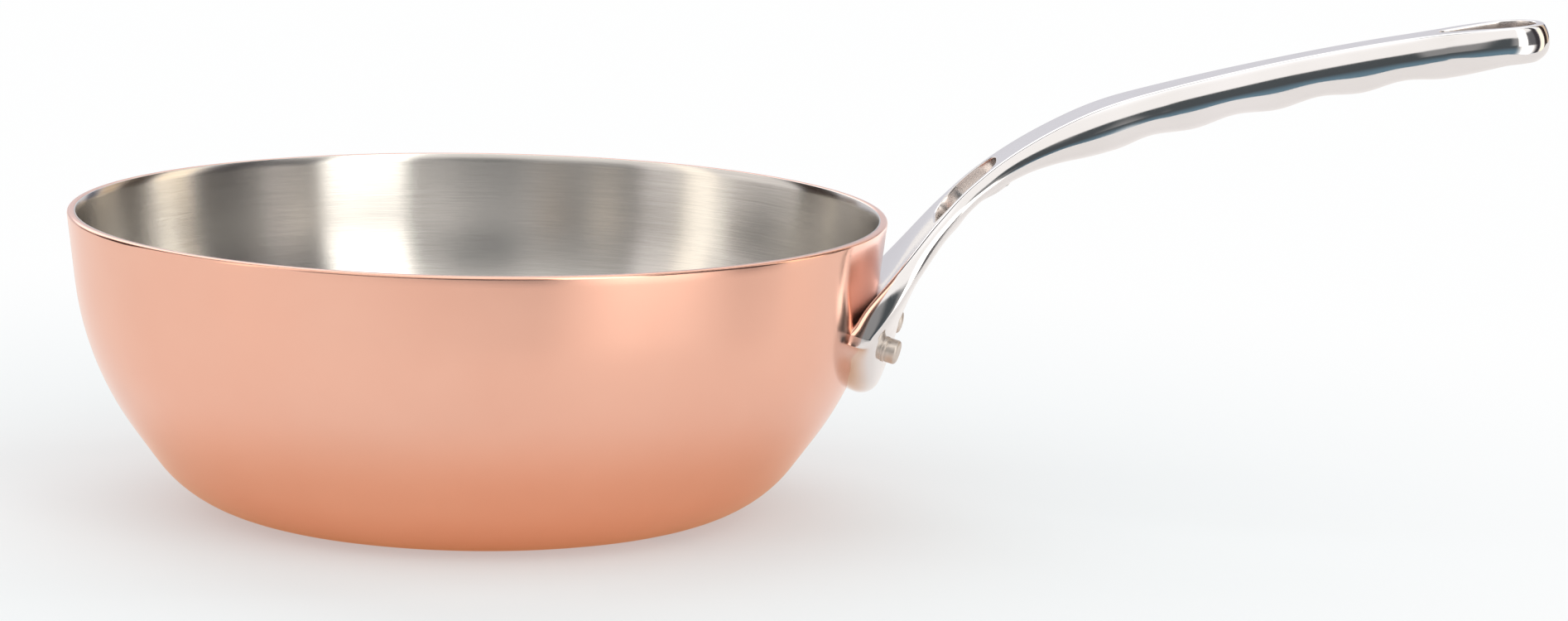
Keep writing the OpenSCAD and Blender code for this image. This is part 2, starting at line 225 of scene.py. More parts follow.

# %% [markdown]
# ## The handle's sizes
#
# The handle is one steel casting. A broad foot hugs the wall, a neck with a
# window climbs away from it, and a grip with finger hollows ends in a wider
# end with a slot to hang it by. It could be sculpted from a block, but a
# casting like this is drawn as one section carried along a bent line, its
# spine. Tables of shares say how the slope, width and thickness change on the
# way. A smooth curve runs through most tables, so the flanks have no kinks,
# and straight lines join the values of the wrap and side tables.

# %% The handle's lengths, in metres
handle_len, leave_h = 0.2258, 0.060
foot_w, foot_reach, foot_t, neck_t, thick_sides = 0.0714, 0.0184, 0.008, 0.0058, 0.0013
foot_round, foot_straight, foot_round_share = 0.0052, 0.003, 0.8
grip_w, grip_t, end_w, end_t = 0.0124, 0.0142, 0.0216, 0.0124
grip_swell, end_swell, hollow_depth, hollow_count = 0.003, 0.0018, 0.0014, 4
window_len, window_foot_w, window_top_w = 0.0247, 0.034, 0.0304
window_r, window_at = 0.0086, 0.0462
slot_w, slot_len, slot_tip_w = 0.017, 0.028, 0.0044

def wall_r(z):
    """The outside radius of the bowl at a height above the haunch's foot."""
    if z >= flare_foot_z:
        return rim_r - (bowl_h - z) * math.tan(flare)
    if z >= haunch_top_z:
        return shoulder_c.x + math.sqrt(shoulder_r ** 2 - (z - shoulder_c.z) ** 2)
    return haunch_top.x - (haunch_top_z - z) * math.tan(haunch)

def wall_lean(z):
    """The lean of the outside wall at that height."""
    if z >= flare_foot_z:
        return flare
    if z >= haunch_top_z:
        return math.asin((shoulder_c.z - z) / shoulder_r)
    return haunch

print("the handle leaves the wall", round(1000 * wall_r(leave_h), 1), "mm from the pan's axis")

# %% The handle's tables, in pairs of a share of its length and a value
# The spine's slope in degrees
slopes = [(0, 90 - math.degrees(wall_lean(leave_h))), (0.04, 58), (0.10, 57.5), (0.17, 51),
          (0.24, 40), (0.31, 32), (0.38, 26), (0.45, 17.5), (0.52, 15.5), (0.64, 13.5),
          (0.80, 10.5), (0.92, 7.5), (1, 2.5)]
# How much of the foot's extra width is there, and of the wide end's
foot_width_shares = [(0, 1), (0.06, 0.975), (0.105, 0.85), (0.147, 0.67), (0.187, 0.5),
                     (0.222, 0.4), (0.27, 0.3), (0.33, 0.225), (0.38, 0.19), (0.42, 0.15),
                     (0.47, 0.09), (0.55, 0.045), (0.66, 0), (1, 0)]
end_width_shares = [(0, 0), (0.82, 0), (0.855, 0.22), (0.89, 0.68), (0.92, 0.93), (0.945, 1), (1, 1)]
# How far the thickness has gone from the foot's to the neck's, and then to the grip's
neck_shares = [(0, 0), (0.03, 0), (0.055, 0.5), (0.085, 1), (1, 1)]
grip_shares = [(0, 0), (0.15, 0), (0.22, 0.07), (0.26, 0.19), (0.30, 0.355), (0.34, 0.6),
               (0.37, 0.81), (0.40, 0.925), (0.45, 1), (0.70, 1), (0.80, 0.82), (0.87, 0.62),
               (0.94, 0), (1, 0)]
# How far the flanks swell, and how much thicker the underside is at its sides
swell_shares = [(0, 0.5), (0.10, 0.45), (0.25, 0.5), (0.40, 1), (0.85, 1), (0.94, 0), (1, 0)]
side_shares = [(0, 0), (0.03, 0.4), (0.06, 1), (0.09, 0.55), (0.14, 0), (1, 0)]
# How closely the section wraps the wall: at 1 it follows the wall, near 0 it is flat
wrap_shares = [(0, 1), (0.04, 0.85), (0.11, 0.5), (0.15, 0.4), (0.19, 0.22), (0.25, 0.0001),
               (1, 0.0001)]
# The power of the underside's curve: 2 makes half an ellipse, and 8 nearly a box
corner_powers = [(0, 8), (0.08, 8), (0.125, 4.2), (0.25, 2.6), (1, 2.5)]

def smooth_at(x, table):
    """A smooth curve through a table's values."""
    def gradient(k):
        before, after = table[max(k - 1, 0)], table[min(k + 1, len(table) - 1)]
        return (after[1] - before[1]) / (after[0] - before[0])
    i = 0
    while i < len(table) - 2 and x >= table[i + 1][0]:
        i += 1
    (x0, y0), (x1, y1) = table[i], table[i + 1]
    t = (x - x0) / (x1 - x0)
    leaving, arriving = (x1 - x0) * gradient(i), (x1 - x0) * gradient(i + 1)
    return ((2 * t ** 3 - 3 * t ** 2 + 1) * y0 + (t ** 3 - 2 * t ** 2 + t) * leaving
            + (3 * t ** 2 - 2 * t ** 3) * y1 + (t ** 3 - t ** 2) * arriving)

def share_at(x, table):
    """Straight lines through a table's values."""
    for (x0, y0), (x1, y1) in zip(table, table[1:]):
        if x <= x1:
            return y0 + (y1 - y0) * (x - x0) / (x1 - x0)
    return table[-1][1]

print("slope at the middle of the handle:", round(smooth_at(0.5, slopes), 1), "degrees")

# %% [markdown]
# ## The spine
#
# The spine is the middle line of the handle's top face. A curve object with a
# bevel could carry a section too, but not one that changes and bends round
# the bowl. So the spine is stepped along in half-millimetres: it starts on
# the wall, at first follows the wall's own slope, and then the table's. A
# section's point is placed on it by a function. Near the bowl the section
# curves with the wall, and the foot's inner face lies a little way inside the
# copper, so no gap shows along the foot.

# %% The spine, and where a section's point lies on it
SPINE_STEPS = 450
step = handle_len / SPINE_STEPS
spine = [Vector((wall_r(leave_h), leave_h, slopes[0][1]))]
for i in range(SPINE_STEPS):
    slope = math.radians(smooth_at((i + 0.5) / SPINE_STEPS, slopes))
    x, z, _ = spine[-1]
    spine.append(Vector((x + step * math.cos(slope), z + step * math.sin(slope),
                         smooth_at((i + 1) / SPINE_STEPS, slopes))))

def spine_at(s):
    """Reach, height and slope, a distance s along the spine; below 0 it's on the wall."""
    if s < 0:
        return Vector((wall_r(leave_h + s), leave_h + s, 90 - math.degrees(wall_lean(leave_h + s))))
    k = min(int(s / step), SPINE_STEPS - 1)
    return spine[k].lerp(spine[k + 1], s / step - k)

foot_sink = 0.0012
foot_sink_len = 2.2 * foot_sink

def placed(s, across, down, thick):
    """A section's point: s along the spine, across it, and down into the metal."""
    x, z, slope = spine_at(s)
    slope = math.radians(slope)
    r = x / share_at(max(s, 0) / handle_len, wrap_shares)
    sink = foot_sink * (1 - min(max(s, 0) / foot_sink_len, 1))
    deep = down - sink * (1 - down / thick)
    turn = math.asin(across / r)
    bent_r = r + deep * math.sin(slope)
    return Vector((x - r + bent_r * math.cos(turn), bent_r * math.sin(turn), z - deep * math.cos(slope)))

tip = spine_at(handle_len)
print("the handle ends", round(1000 * tip.x, 1), "mm out and", round(1000 * tip.y, 1), "mm up")

# %% [markdown]
# ## One section of the handle
#
# Half a section has 21 columns, counted from the middle of the flat top, over
# the edge, round the flank and back to the middle of the underside. Columns 1
# to 3 frame the window and the slot, so the same columns lie above each other
# on the top and on the underside. Columns 6 to 8 round the top's edge, which
# is a crisp line on the real handle. A plain circle of points would be easier,
# but it would put none of them where the holes and the edge need them.

# %% The columns of a section
SIDE, UNDER_MIDDLE, CORNER_POINTS = 10, 20, 5
edge_round, flat_in = 0.0006, 0.0012
waist_share, flank_share = 0.42, 0.55
hollow_first_share, hollow_pitch_share = 0.411, 0.112

def half_w(u):
    return (grip_w + (foot_w - grip_w) * smooth_at(u, foot_width_shares)
            + (end_w - grip_w) * smooth_at(u, end_width_shares)) / 2

def full_thickness(u):
    base = end_t if u > 0.5 else foot_t + (neck_t - foot_t) * smooth_at(u, neck_shares)
    return base + (grip_t - base) * smooth_at(u, grip_shares)

def thickness(u):
    """The same with the finger hollows taken out of the underside."""
    n = (u - hollow_first_share) / hollow_pitch_share
    hollow = hollow_depth * (1 - math.cos(2 * math.pi * n)) / 2 if 0 < n < hollow_count else 0
    return full_thickness(u) - hollow

def swell(u):
    low = end_swell if u > 0.5 else 0
    return low + (grip_swell - low) * smooth_at(u, swell_shares)

def half_section(u, columns):
    """21 points (across, down); columns gives where columns 1 to 4 lie across."""
    w, t, b, n = half_w(u), thickness(u), swell(u), smooth_at(u, corner_powers)
    waist, extra = waist_share * full_thickness(u), thick_sides * share_at(u, side_shares)
    def flank(q):
        return (w + b * (1 - (1 - q) ** 2), waist * q)
    def under(across):
        v = across / (w + b)
        return (across, waist + (t - waist + extra * v * v) * (1 - v ** n) ** (1 / n))
    # Three points round the edge, the middle one pulled towards its corner
    edge_in, edge_down = (w - edge_round, 0), flank(edge_round / waist)
    edge_mid = ((edge_in[0] + 2 * w + edge_down[0]) / 4, edge_down[1] / 4)
    last = math.acos((columns[3] / (w + b)) ** (n / 2)) / (CORNER_POINTS + 1)
    corner = [(w + b) * math.cos(last * k) ** (2 / n) for k in range(1, CORNER_POINTS + 1)]
    return ([(0, 0)] + [(c, 0) for c in columns] + [(w - flat_in, 0), edge_in, edge_mid, edge_down]
            + [flank(flank_share), flank(1)] + [under(c) for c in corner + columns[::-1]] + [(0, t)])

print("grip", round(2000 * half_w(0.6), 1), "mm wide on top and", round(1000 * full_thickness(0.6), 1),
      "mm thick")

# %% [markdown]
# ## The rows of the handle
#
# A row is a distance along the spine. Rows are close together where the shape
# turns fast, and a few lie exactly on the ends of the window and the slot.
# The last rows turn round the middle of the slot's round end. The holes could
# be cut later with booleans, but rows and columns that already frame them
# leave clean faces, which reflect without dents.

# %% The rows, and the half widths of the two holes along them
tip_c = handle_len - end_w / 2 - end_swell
hole_margin, tip_margin = 0.0022, 0.0015
window_foot, window_top = window_at - window_len / 2, window_at + window_len / 2
diagonal = window_r * (1 - math.sqrt(0.5))
slot_small = slot_tip_w / 2
slot_foot_c = tip_c - (slot_len - slot_w / 2 - slot_small)
slot_foot = slot_foot_c - slot_small
slot_lean = math.asin((slot_w / 2 - slot_small) / (tip_c - slot_foot_c))
slot_round_foot = tip_c - slot_w / 2 * math.sin(slot_lean)
first_rows = [0.0, 0.0013, 0.0026]
second_row_share, taper_past_share = 0.35, 0.2

def between(a, b, count):
    return [a + (b - a) * (i + 1) / (count + 1) for i in range(count)]

body_rows = (first_rows + between(first_rows[-1], window_foot - hole_margin, count=9)
    + [window_foot - hole_margin, window_foot, window_foot + diagonal, window_foot + window_r]
    + between(window_foot + window_r, window_top - window_r, count=3)
    + [window_top - window_r, window_top - diagonal, window_top, window_top + hole_margin]
    + between(window_top + hole_margin, slot_foot - hole_margin, count=44)
    + [slot_foot - hole_margin, slot_foot, slot_foot + second_row_share * slot_small]
    + [slot_foot_c - slot_small * math.sin(slot_lean)]
    + between(slot_foot_c, slot_round_foot, count=4) + [slot_round_foot, tip_c - tip_margin, tip_c])
WINDOW_ROWS = (body_rows.index(window_foot), body_rows.index(window_top))
SLOT_ROW = body_rows.index(slot_foot)
TIP_ROW = len(body_rows) - 1
tip_turns = [math.radians(a) for a in (13, 26, 39, 52, 65, 78, 90)]

def window_half(s):
    share = (s - (window_foot + window_r)) / (window_len - 2 * window_r)
    share = min(max(share, -taper_past_share), 1 + taper_past_share)
    return (window_foot_w + (window_top_w - window_foot_w) * share) / 2

def slot_half(s):
    if s > slot_round_foot:
        return math.sqrt((slot_w / 2) ** 2 - (tip_c - s) ** 2)
    return slot_small / math.cos(slot_lean) + (s - slot_foot_c) * math.tan(slot_lean)

print(len(body_rows), "rows from the wall to the slot's round end")

# %% Where columns 1 to 4 lie across, in each row
wall_shares, neck_column_shares = (0.35, 0.6, 0.78, 0.9), (0.25, 0.45, 0.65, 0.83)
slot_shares, frame_share, room_margin = (0.3, 0.6, 1), 0.6, 0.0009
spread_from, gather_from, gather_gap, window_let_go = 0.004, 0.006, 0.002, 0.03
slot_gather, slot_gap = 0.025, 0.001

def eased(x, a, b):
    t = min(max((x - a) / (b - a), 0), 1)
    return t * t * (3 - 2 * t)

def columns_at(s):
    """Spread over the top, but gathered round the window and the slot."""
    room = half_w(max(s, 0) / handle_len) - flat_in
    leaving = eased(s, spread_from, window_foot - gather_gap)
    free = [room * (a + (b - a) * leaving) for a, b in zip(wall_shares, neck_column_shares)]
    h = min(window_half(s), room - room_margin)
    near_window = (eased(s, gather_from, window_foot - gather_gap)
                   * (1 - eased(s, window_top + gather_gap, window_top + window_let_go)))
    framed = [h - window_r, h - diagonal, h, h + frame_share * (room - h)]
    h = max(slot_half(s), slot_small)
    near_slot = eased(s, slot_foot - slot_gather, slot_foot - slot_gap)
    slotted = [share * h for share in slot_shares] + [(h + room) / 2]
    return [f + (a - f) * near_window + (b - f) * near_slot for f, a, b in zip(free, framed, slotted)]

print("beside the window the columns lie", [round(1000 * c, 1) for c in columns_at(window_at)], "mm out")

# %% [markdown]
# ## The handle's skin
#
# The skin starts as a flat grid, one line of it for each row and each column.
# Every point of the grid is then sent to its place on the handle, and the
# grid's first and last columns are welded into a tube. It's the same trick as
# rolling a sheet of paper. A grid is used, and not a list of faces, because
# each point then keeps its row and column, and the next cells work by those.
# The first rows lie below the leaving point: they follow the foot's lower
# end, which is half an ellipse with a rounded edge.

# %% Points of the foot's lower end
def foot_drop(across):
    return foot_straight + foot_reach * math.sqrt(max(1 - (across / (foot_w / 2)) ** 2, 0))

def end_round(across):
    return min(foot_round, foot_round_share * foot_drop(across))

def foot_point(across, down, share):
    return placed(-(foot_drop(across) - end_round(across)) * share, across, down, foot_t)

def foot_round_point(across, down, turn):
    r = end_round(across)
    thin = 1 - r * (1 - math.cos(turn)) / foot_t
    return placed(-(foot_drop(across) - r * (1 - math.sin(turn))), across, down * thin, foot_t)

print("the foot reaches", round(1000 * foot_drop(0), 1), "mm below the point where the handle leaves")

# %% Roll the grid into the handle
ROUND_TURNS = [math.radians(a) for a in (90, 72, 54, 36, 18)]
FOOT_SHARES = [1.0, 0.8, 0.6, 0.4, 0.2]
FOOT_ROWS = len(ROUND_TURNS) + len(FOOT_SHARES)
ROWS = FOOT_ROWS + len(body_rows) + len(tip_turns)
COLUMNS = 2 * UNDER_MIDDLE

def row_points(row):
    """The ring of points of one row, from the top's middle round by +Y."""
    s = body_rows[min(max(row - FOOT_ROWS, 0), TIP_ROW)]
    thick = thickness(s / handle_len)
    half = half_section(s / handle_len, columns_at(s))
    ring = half + [(-a, d) for a, d in half[-2:0:-1]]
    if row < len(ROUND_TURNS):
        return [foot_round_point(a, d, ROUND_TURNS[row]) for a, d in ring]
    if row < FOOT_ROWS:
        return [foot_point(a, d, FOOT_SHARES[row - len(ROUND_TURNS)]) for a, d in ring]
    if row <= FOOT_ROWS + TIP_ROW:
        return [placed(s, a, d, thick) for a, d in ring]
    turn = tip_turns[row - FOOT_ROWS - TIP_ROW - 1]
    return [placed(tip_c + abs(a) * math.sin(turn), a * math.cos(turn), d, thick) for a, d in ring]

bm = bmesh.new()
bmesh.ops.create_grid(bm, x_segments=ROWS - 1, y_segments=COLUMNS, size=0.5)
row_of, column_of = bm.verts.layers.int.new("row"), bm.verts.layers.int.new("column")
for v in bm.verts:
    v[row_of] = round((v.co.x + 0.5) * (ROWS - 1))
    v[column_of] = round((v.co.y + 0.5) * COLUMNS) % COLUMNS
rings = [row_points(row) for row in range(ROWS)]
for v in bm.verts:
    v.co = rings[v[row_of]][v[column_of]]
print("grid of", ROWS, "rows and", COLUMNS, "columns")

# %% [markdown]
# ## The window and the slot
#
# On the casting both holes go right through and have even, rounded corners.
# They are opened in the grid while its rows and columns are still known. The
# window's corner cells stay, and three points at each of its corners are
# moved on to the corner's arc. The slot's narrow end is rounded in the same
# way. The underside gets the same outline, dropped square to the top.

# %% Which cells are cut out, and where the points of the outlines go
HOLE_COLUMNS = 3
# Degrees on a window corner's arc, and shares of the slot end's quarter turn,
# each by how many rows in from the hole's end, and by column
window_corner = {(1, 1): 22.5, (1, 2): 45, (1, 3): 67.5}
slot_end_shares = {(0, 0): 0, (0, 1): 0.24, (1, 1): 0.45, (1, 2): 0.65, (1, 3): 0.83}

def fold(column):
    """The column counted on the +Y half."""
    return column if column <= UNDER_MIDDLE else COLUMNS - column

def window_outline(row, k):
    """Where a point at a corner of the window goes, as (along, across), or None."""
    for end, end_s, way in ((WINDOW_ROWS[0], window_foot, 1), (WINDOW_ROWS[1], window_top, -1)):
        turn = window_corner.get(((row - end) * way, k))
        if turn is not None:
            a = math.radians(turn)
            h = window_half(end_s + way * window_r)
            return (end_s + way * window_r * (1 - math.cos(a)), h - window_r * (1 - math.sin(a)))
    return None

def slot_outline(row, k):
    """The same for the slot's narrow end."""
    share = slot_end_shares.get((row - SLOT_ROW, k))
    if share is None:
        return None
    a = share * (math.pi / 2 - slot_lean)
    return (slot_foot_c - slot_small * math.cos(a), slot_small * math.sin(a))

def in_window(row, k):
    """Whether a cell, named by its lowest row and column, is cut out."""
    foot, top = WINDOW_ROWS
    return foot <= row < top and (k == 0 or (k < HOLE_COLUMNS and foot < row < top - 1))

def in_slot(row, k):
    return row >= SLOT_ROW and (k == 0 or (k < HOLE_COLUMNS and row > SLOT_ROW))

# %% Open the holes and set their outlines
hole_faces = []
for face in bm.faces:
    row = min(v[row_of] for v in face.verts) - FOOT_ROWS
    folded = [fold(v[column_of]) for v in face.verts]
    k = min(min(folded), UNDER_MIDDLE - max(folded))
    if in_window(row, k) or in_slot(row, k):
        hole_faces.append(face)
bmesh.ops.delete(bm, geom=hole_faces, context="FACES")

for v in bm.verts:
    row, k = v[row_of] - FOOT_ROWS, fold(v[column_of])
    on_top = k < SIDE
    k = k if on_top else UNDER_MIDDLE - k
    spot = window_outline(row, k) or slot_outline(row, k)
    if spot:
        s, across = spot
        across = across if v[column_of] <= UNDER_MIDDLE else -across
        thick = thickness(s / handle_len)
        v.co = placed(s, across, 0 if on_top else thick, thick)
bmesh.ops.remove_doubles(bm, verts=bm.verts[:], dist=1e-6)
print("left after the holes:", len(bm.faces), "faces")

# %% [markdown]
# Each hole now has two loops of open edges, one on the top and one on the
# underside. A bridge joins them into the hole's inner wall, and a small bevel
# breaks both edges, as polishing does on the casting. The bridged faces are
# marked in an attribute, because the polishing wheel hardly reaches them, and
# their finish will be duller. Their colour will also be darker and warmer,
# which is painted shade and a painted warm reflection inside the holes.

# %% Bridge the holes and break their edges
lip = 0.0005
inside = bm.faces.layers.float.new("inside")

def hole_edges(first, last):
    rows = range(first + FOOT_ROWS, last + FOOT_ROWS + 1)
    return [e for e in bm.edges if e.is_boundary and all(v[row_of] in rows for v in e.verts)]

for name, first, last in (("window", *WINDOW_ROWS), ("slot", SLOT_ROW, ROWS)):
    rims = hole_edges(first, last)
    for face in bmesh.ops.bridge_loops(bm, edges=rims)["faces"]:
        face[inside] = 1
    bevelled = bmesh.ops.bevel(bm, geom=rims, offset=lip, offset_type="OFFSET", segments=3,
                               profile=0.5, affect="EDGES", material=-1)
    print(name, "has", len(rims), "edges round its two outlines and", len(bevelled["faces"]), "lip faces")

# %% [markdown]
# The foot's lower end is still an open ring. Its top half and its underside
# are bridged, and the two small triangles at the sides are filled. A
# Subdivision Surface modifier then rounds the whole skin, as grinding and
# polishing do. It is kept live, because nothing is modelled on top of it.

# %% Close the foot, and smooth the skin
ring_edges = [e for e in bm.edges if e.is_boundary]
upper = [e for e in ring_edges if all(fold(v[column_of]) < SIDE for v in e.verts)]
under = [e for e in ring_edges if all(fold(v[column_of]) > SIDE for v in e.verts)]
bmesh.ops.bridge_loops(bm, edges=upper + under)
bmesh.ops.holes_fill(bm, edges=[e for e in bm.edges if e.is_boundary], sides=4)
print("open edges left:", sum(e.is_boundary for e in bm.edges))
handle = piece("handle_fine", bm, "handle")
smooth = handle.modifiers.new("smooth skin", "SUBSURF")
smooth.levels = smooth.render_levels = 2

# %% [markdown]
# ## The rivets
#
# Two rivets hold the handle to the wall. A set rivet has a low dome on the
# inside of the bowl, a shank in the wall and a short stub that stands on a
# low collar outside the foot. A fine groove parts the stub from its collar,
# and the stub's end is pressed nearly flat. Stacked cylinders would leave
# hard rings between these parts, so one profile is drawn with its small
# rounds and spun. A matrix then stands the rivet square to the wall.

# %% The rivets' sizes and places
RIVET_STEPS, DOME_STEPS, ROUND_STEPS, COLLAR_STEPS = 48, 10, 6, 4
rivet_gap, rivet_h, rivet_d = 0.048, 0.056, 0.0065
collar_d, collar_h, stub_d, stub_len, stub_round = 0.0075, 0.0009, 0.0071, 0.0044, 0.0009
dome_d, dome_h, seat_depth = 0.013, 0.002, 0.0005
seat_break, collar_round, groove_depth, groove_h = 0.0001, 0.0002, 0.0002, 0.0004
seat_z = foot_t - seat_depth
collar_z, stub_z = seat_z + collar_h, seat_z + stub_len
dome_z = wall_t + (dome_d / 2) ** 2 / (2 * (shoulder_r - wall_t))
ball_r = ((dome_d / 2) ** 2 + dome_h ** 2) / (2 * dome_h)

def on_rivet(side):
    """From a rivet's own frame, with the wall's face at 0, to its place on the pan."""
    return (Matrix.Rotation(side * math.asin(rivet_gap / (2 * wall_r(rivet_h))), 4, "Z")
            @ Matrix.Translation((wall_r(rivet_h), 0, rivet_h))
            @ Matrix.Rotation(math.pi / 2 + wall_lean(rivet_h), 4, "Y"))

print("the rivets stand", round(1000 * rivet_gap), "mm apart,", round(1000 * rivet_h), "mm up")

# %% The two rivets
def rivet_profile(bm):
    dome_top = -dome_z - dome_h
    pen = bm.verts.new((0, 0, dome_top))
    pen = arc_about(bm, pen, (0, 0, dome_top + ball_r), -math.asin(dome_d / 2 / ball_r), DOME_STEPS)
    pen = line_to(bm, pen, rivet_d / 2, -dome_z)
    pen = line_to(bm, pen, rivet_d / 2, seat_z)
    pen = line_to(bm, pen, collar_d / 2 - seat_break, seat_z)
    pen = line_to(bm, pen, collar_d / 2, seat_z + seat_break)
    pen = line_to(bm, pen, collar_d / 2, collar_z - collar_round)
    collar_c = (collar_d / 2 - collar_round, 0, collar_z - collar_round)
    pen = arc_about(bm, pen, collar_c, -math.pi / 2, COLLAR_STEPS)
    pen = line_to(bm, pen, stub_d / 2 - groove_depth, collar_z)
    pen = line_to(bm, pen, stub_d / 2, collar_z + groove_h, steps=2)
    pen = line_to(bm, pen, stub_d / 2, stub_z - stub_round, steps=3)
    pen = arc_about(bm, pen, (stub_d / 2 - stub_round, 0, stub_z - stub_round), -math.pi / 2, ROUND_STEPS)
    line_to(bm, pen, 0, stub_z, steps=3)

rivets = []
for side, node in ((-1, "rivet_near"), (1, "rivet_far")):
    bm = bmesh.new()
    rivet_profile(bm)
    turned(bm, RIVET_STEPS)
    bmesh.ops.transform(bm, matrix=on_rivet(side), verts=bm.verts[:])
    rivets.append(piece(node + "_fine", bm, node))

# %% [markdown]
# ## Finishes
#
# Each finish is a small node tree on one metal shader. A helper adds a node,
# sets its values and joins its inputs, so a tree reads like a recipe. Further
# helpers stand for what the recipes need often: a noise, a range, a tint
# between two colours, one colour laid over another, a soft step, and bumps.

# %% A helper that adds a node
def add(tree, kind, inputs=(), **settings):
    made = tree.nodes.new("ShaderNode" + kind)
    for key, value in settings.items():
        setattr(made, key, value)
    for key, value in dict(inputs).items():
        if isinstance(value, bpy.types.NodeSocket):
            tree.links.new(value, made.inputs[key])
        else:
            made.inputs[key].default_value = value
    return made

# %% Helpers for ranges, colours and marks
micron = 1e-6

def noise(tree, at, scale, detail=3, roughness=0.5):
    return add(tree, "TexNoise", {"Vector": at, "Scale": scale, "Detail": detail,
                                  "Roughness": roughness}).outputs["Fac"]

def span(tree, value, low, high):
    """Maps 0 to 1 on to a range."""
    return add(tree, "MapRange", {"Value": value, "To Min": low, "To Max": high}).outputs["Result"]

def spread(tree, value, low, high):
    """Maps a noise's middle values on to a range."""
    return add(tree, "MapRange", {"Value": value, "From Min": 0.3, "From Max": 0.7,
                                  "To Min": low, "To Max": high}).outputs["Result"]

def ramp(tree, value, start, end):
    """A soft step from 0 at start to 1 at end."""
    return add(tree, "MapRange", {"Value": value, "From Min": start, "From Max": end},
               interpolation_type="SMOOTHSTEP").outputs["Result"]

def times(tree, a, b):
    return add(tree, "Math", {0: a, 1: b}, operation="MULTIPLY").outputs[0]

def plus(tree, a, b):
    return add(tree, "Math", {0: a, 1: b}, operation="ADD").outputs[0]

def layer(tree, below, colour, mask):
    """Lays a colour over what is below it, as far as the mask says."""
    made = add(tree, "Mix", {0: mask}, data_type="RGBA")
    for k, value in ((6, below), (7, colour)):
        if isinstance(value, bpy.types.NodeSocket):
            tree.links.new(value, made.inputs[k])
        else:
            made.inputs[k].default_value = (*value, 1)
    return made.outputs[2]

def bump(tree, height, distance, normal=None):
    inputs = {"Height": height, "Distance": distance, "Strength": 1}
    if normal:
        inputs["Normal"] = normal
    return add(tree, "Bump", inputs).outputs["Normal"]

# %% Helpers for polished and brushed metal
def metal(name):
    """A metal material, its tree, its shader and the place of each point."""
    made = bpy.data.materials.new(name)
    made.use_nodes = True
    tree = made.node_tree
    shader = tree.nodes["Principled BSDF"]
    shader.inputs["Metallic"].default_value = 1
    return made, tree, shader, add(tree, "TexCoord").outputs["Object"]

def set_finish(tree, shader, colour, roughness, normal):
    tree.links.new(colour, shader.inputs["Base Color"])
    tree.links.new(roughness, shader.inputs["Roughness"])
    tree.links.new(normal, shader.inputs["Normal"])

def polished_round(tree, shader, share):
    """Spreads reflections up and down the wall, as marks that run round it do."""
    tangent = add(tree, "Tangent", direction_type="RADIAL", axis="Z")
    tree.links.new(tangent.outputs[0], shader.inputs["Tangent"])
    shader.inputs["Anisotropic"].default_value = share
    shader.inputs["Anisotropic Rotation"].default_value = 0.25

def round_the_axis(tree, at, around, up):
    """Coordinates for marks that run round the bowl: slow round Z, fast along it."""
    parts = add(tree, "SeparateXYZ", {"Vector": at})
    flat = add(tree, "CombineXYZ", {"X": parts.outputs["X"], "Y": parts.outputs["Y"]})
    ring = add(tree, "VectorMath", {0: flat.outputs[0]}, operation="NORMALIZE").outputs[0]
    slow = add(tree, "VectorMath", {0: ring, "Scale": around}, operation="SCALE").outputs[0]
    radius = add(tree, "VectorMath", {0: flat.outputs[0]}, operation="LENGTH").outputs["Value"]
    fast = times(tree, plus(tree, parts.outputs["Z"], radius), up)
    lift = add(tree, "CombineXYZ", {"Z": fast})
    return add(tree, "VectorMath", {0: slow, 1: lift.outputs[0]}, operation="ADD").outputs[0]

# %% [markdown]
# ## Polished copper
#
# The copper is buffed while the bowl spins, so it is bright, with the finest
# of rings round it and soft smudges from handling. A plain glossy metal would
# mirror the room as a sharp picture. The real wall smears each reflection up
# and down instead, because its rings scatter light across themselves. The
# shader's anisotropy does this, with a tangent that runs round Z and is
# turned by a quarter.

# %% Polished copper
copper, tree, shader, at = metal("polished copper")
smudge = noise(tree, at, scale=14, detail=4, roughness=0.55)
rings = noise(tree, round_the_axis(tree, at, around=1.5, up=700), scale=1, detail=2)
grain = noise(tree, at, scale=2200, detail=2)
set_finish(tree, shader,
           colour=layer(tree, (0.92, 0.55, 0.43), (0.90, 0.51, 0.39), spread(tree, smudge, 0, 1)),
           roughness=spread(tree, smudge, 0.17, 0.21),
           normal=bump(tree, grain, 1.5 * micron, bump(tree, rings, 4 * micron)))
polished_round(tree, shader, 0.85)
copper_shell.data.materials.append(copper)
print("polished copper:", len(tree.nodes), "nodes")

# %% [markdown]
# ## Brushed lining
#
# The lining is brushed round the bowl. From the front this gives upright
# bands of light and dark, crossed by fine streaks. The bands come from the
# same anisotropy as the copper's, but duller. An image of brushed steel would
# show seams here, so the streaks are a noise that is slow round the axis and
# very fast along the wall. They tint the steel and give it a faint bump.

# %% Brushed lining
brushed, tree, shader, at = metal("brushed lining")
streaks = noise(tree, round_the_axis(tree, at, around=6, up=3500), scale=1, detail=3, roughness=0.6)
smudge = noise(tree, at, scale=20, detail=3)
set_finish(tree, shader,
           colour=layer(tree, (0.68, 0.66, 0.63), (0.78, 0.76, 0.73), spread(tree, streaks, 0, 1)),
           roughness=spread(tree, smudge, 0.20, 0.25),
           normal=bump(tree, streaks, 10 * micron))
polished_round(tree, shader, 0.85)
steel_lining.data.materials.append(brushed)
print("brushed lining:", len(tree.nodes), "nodes")
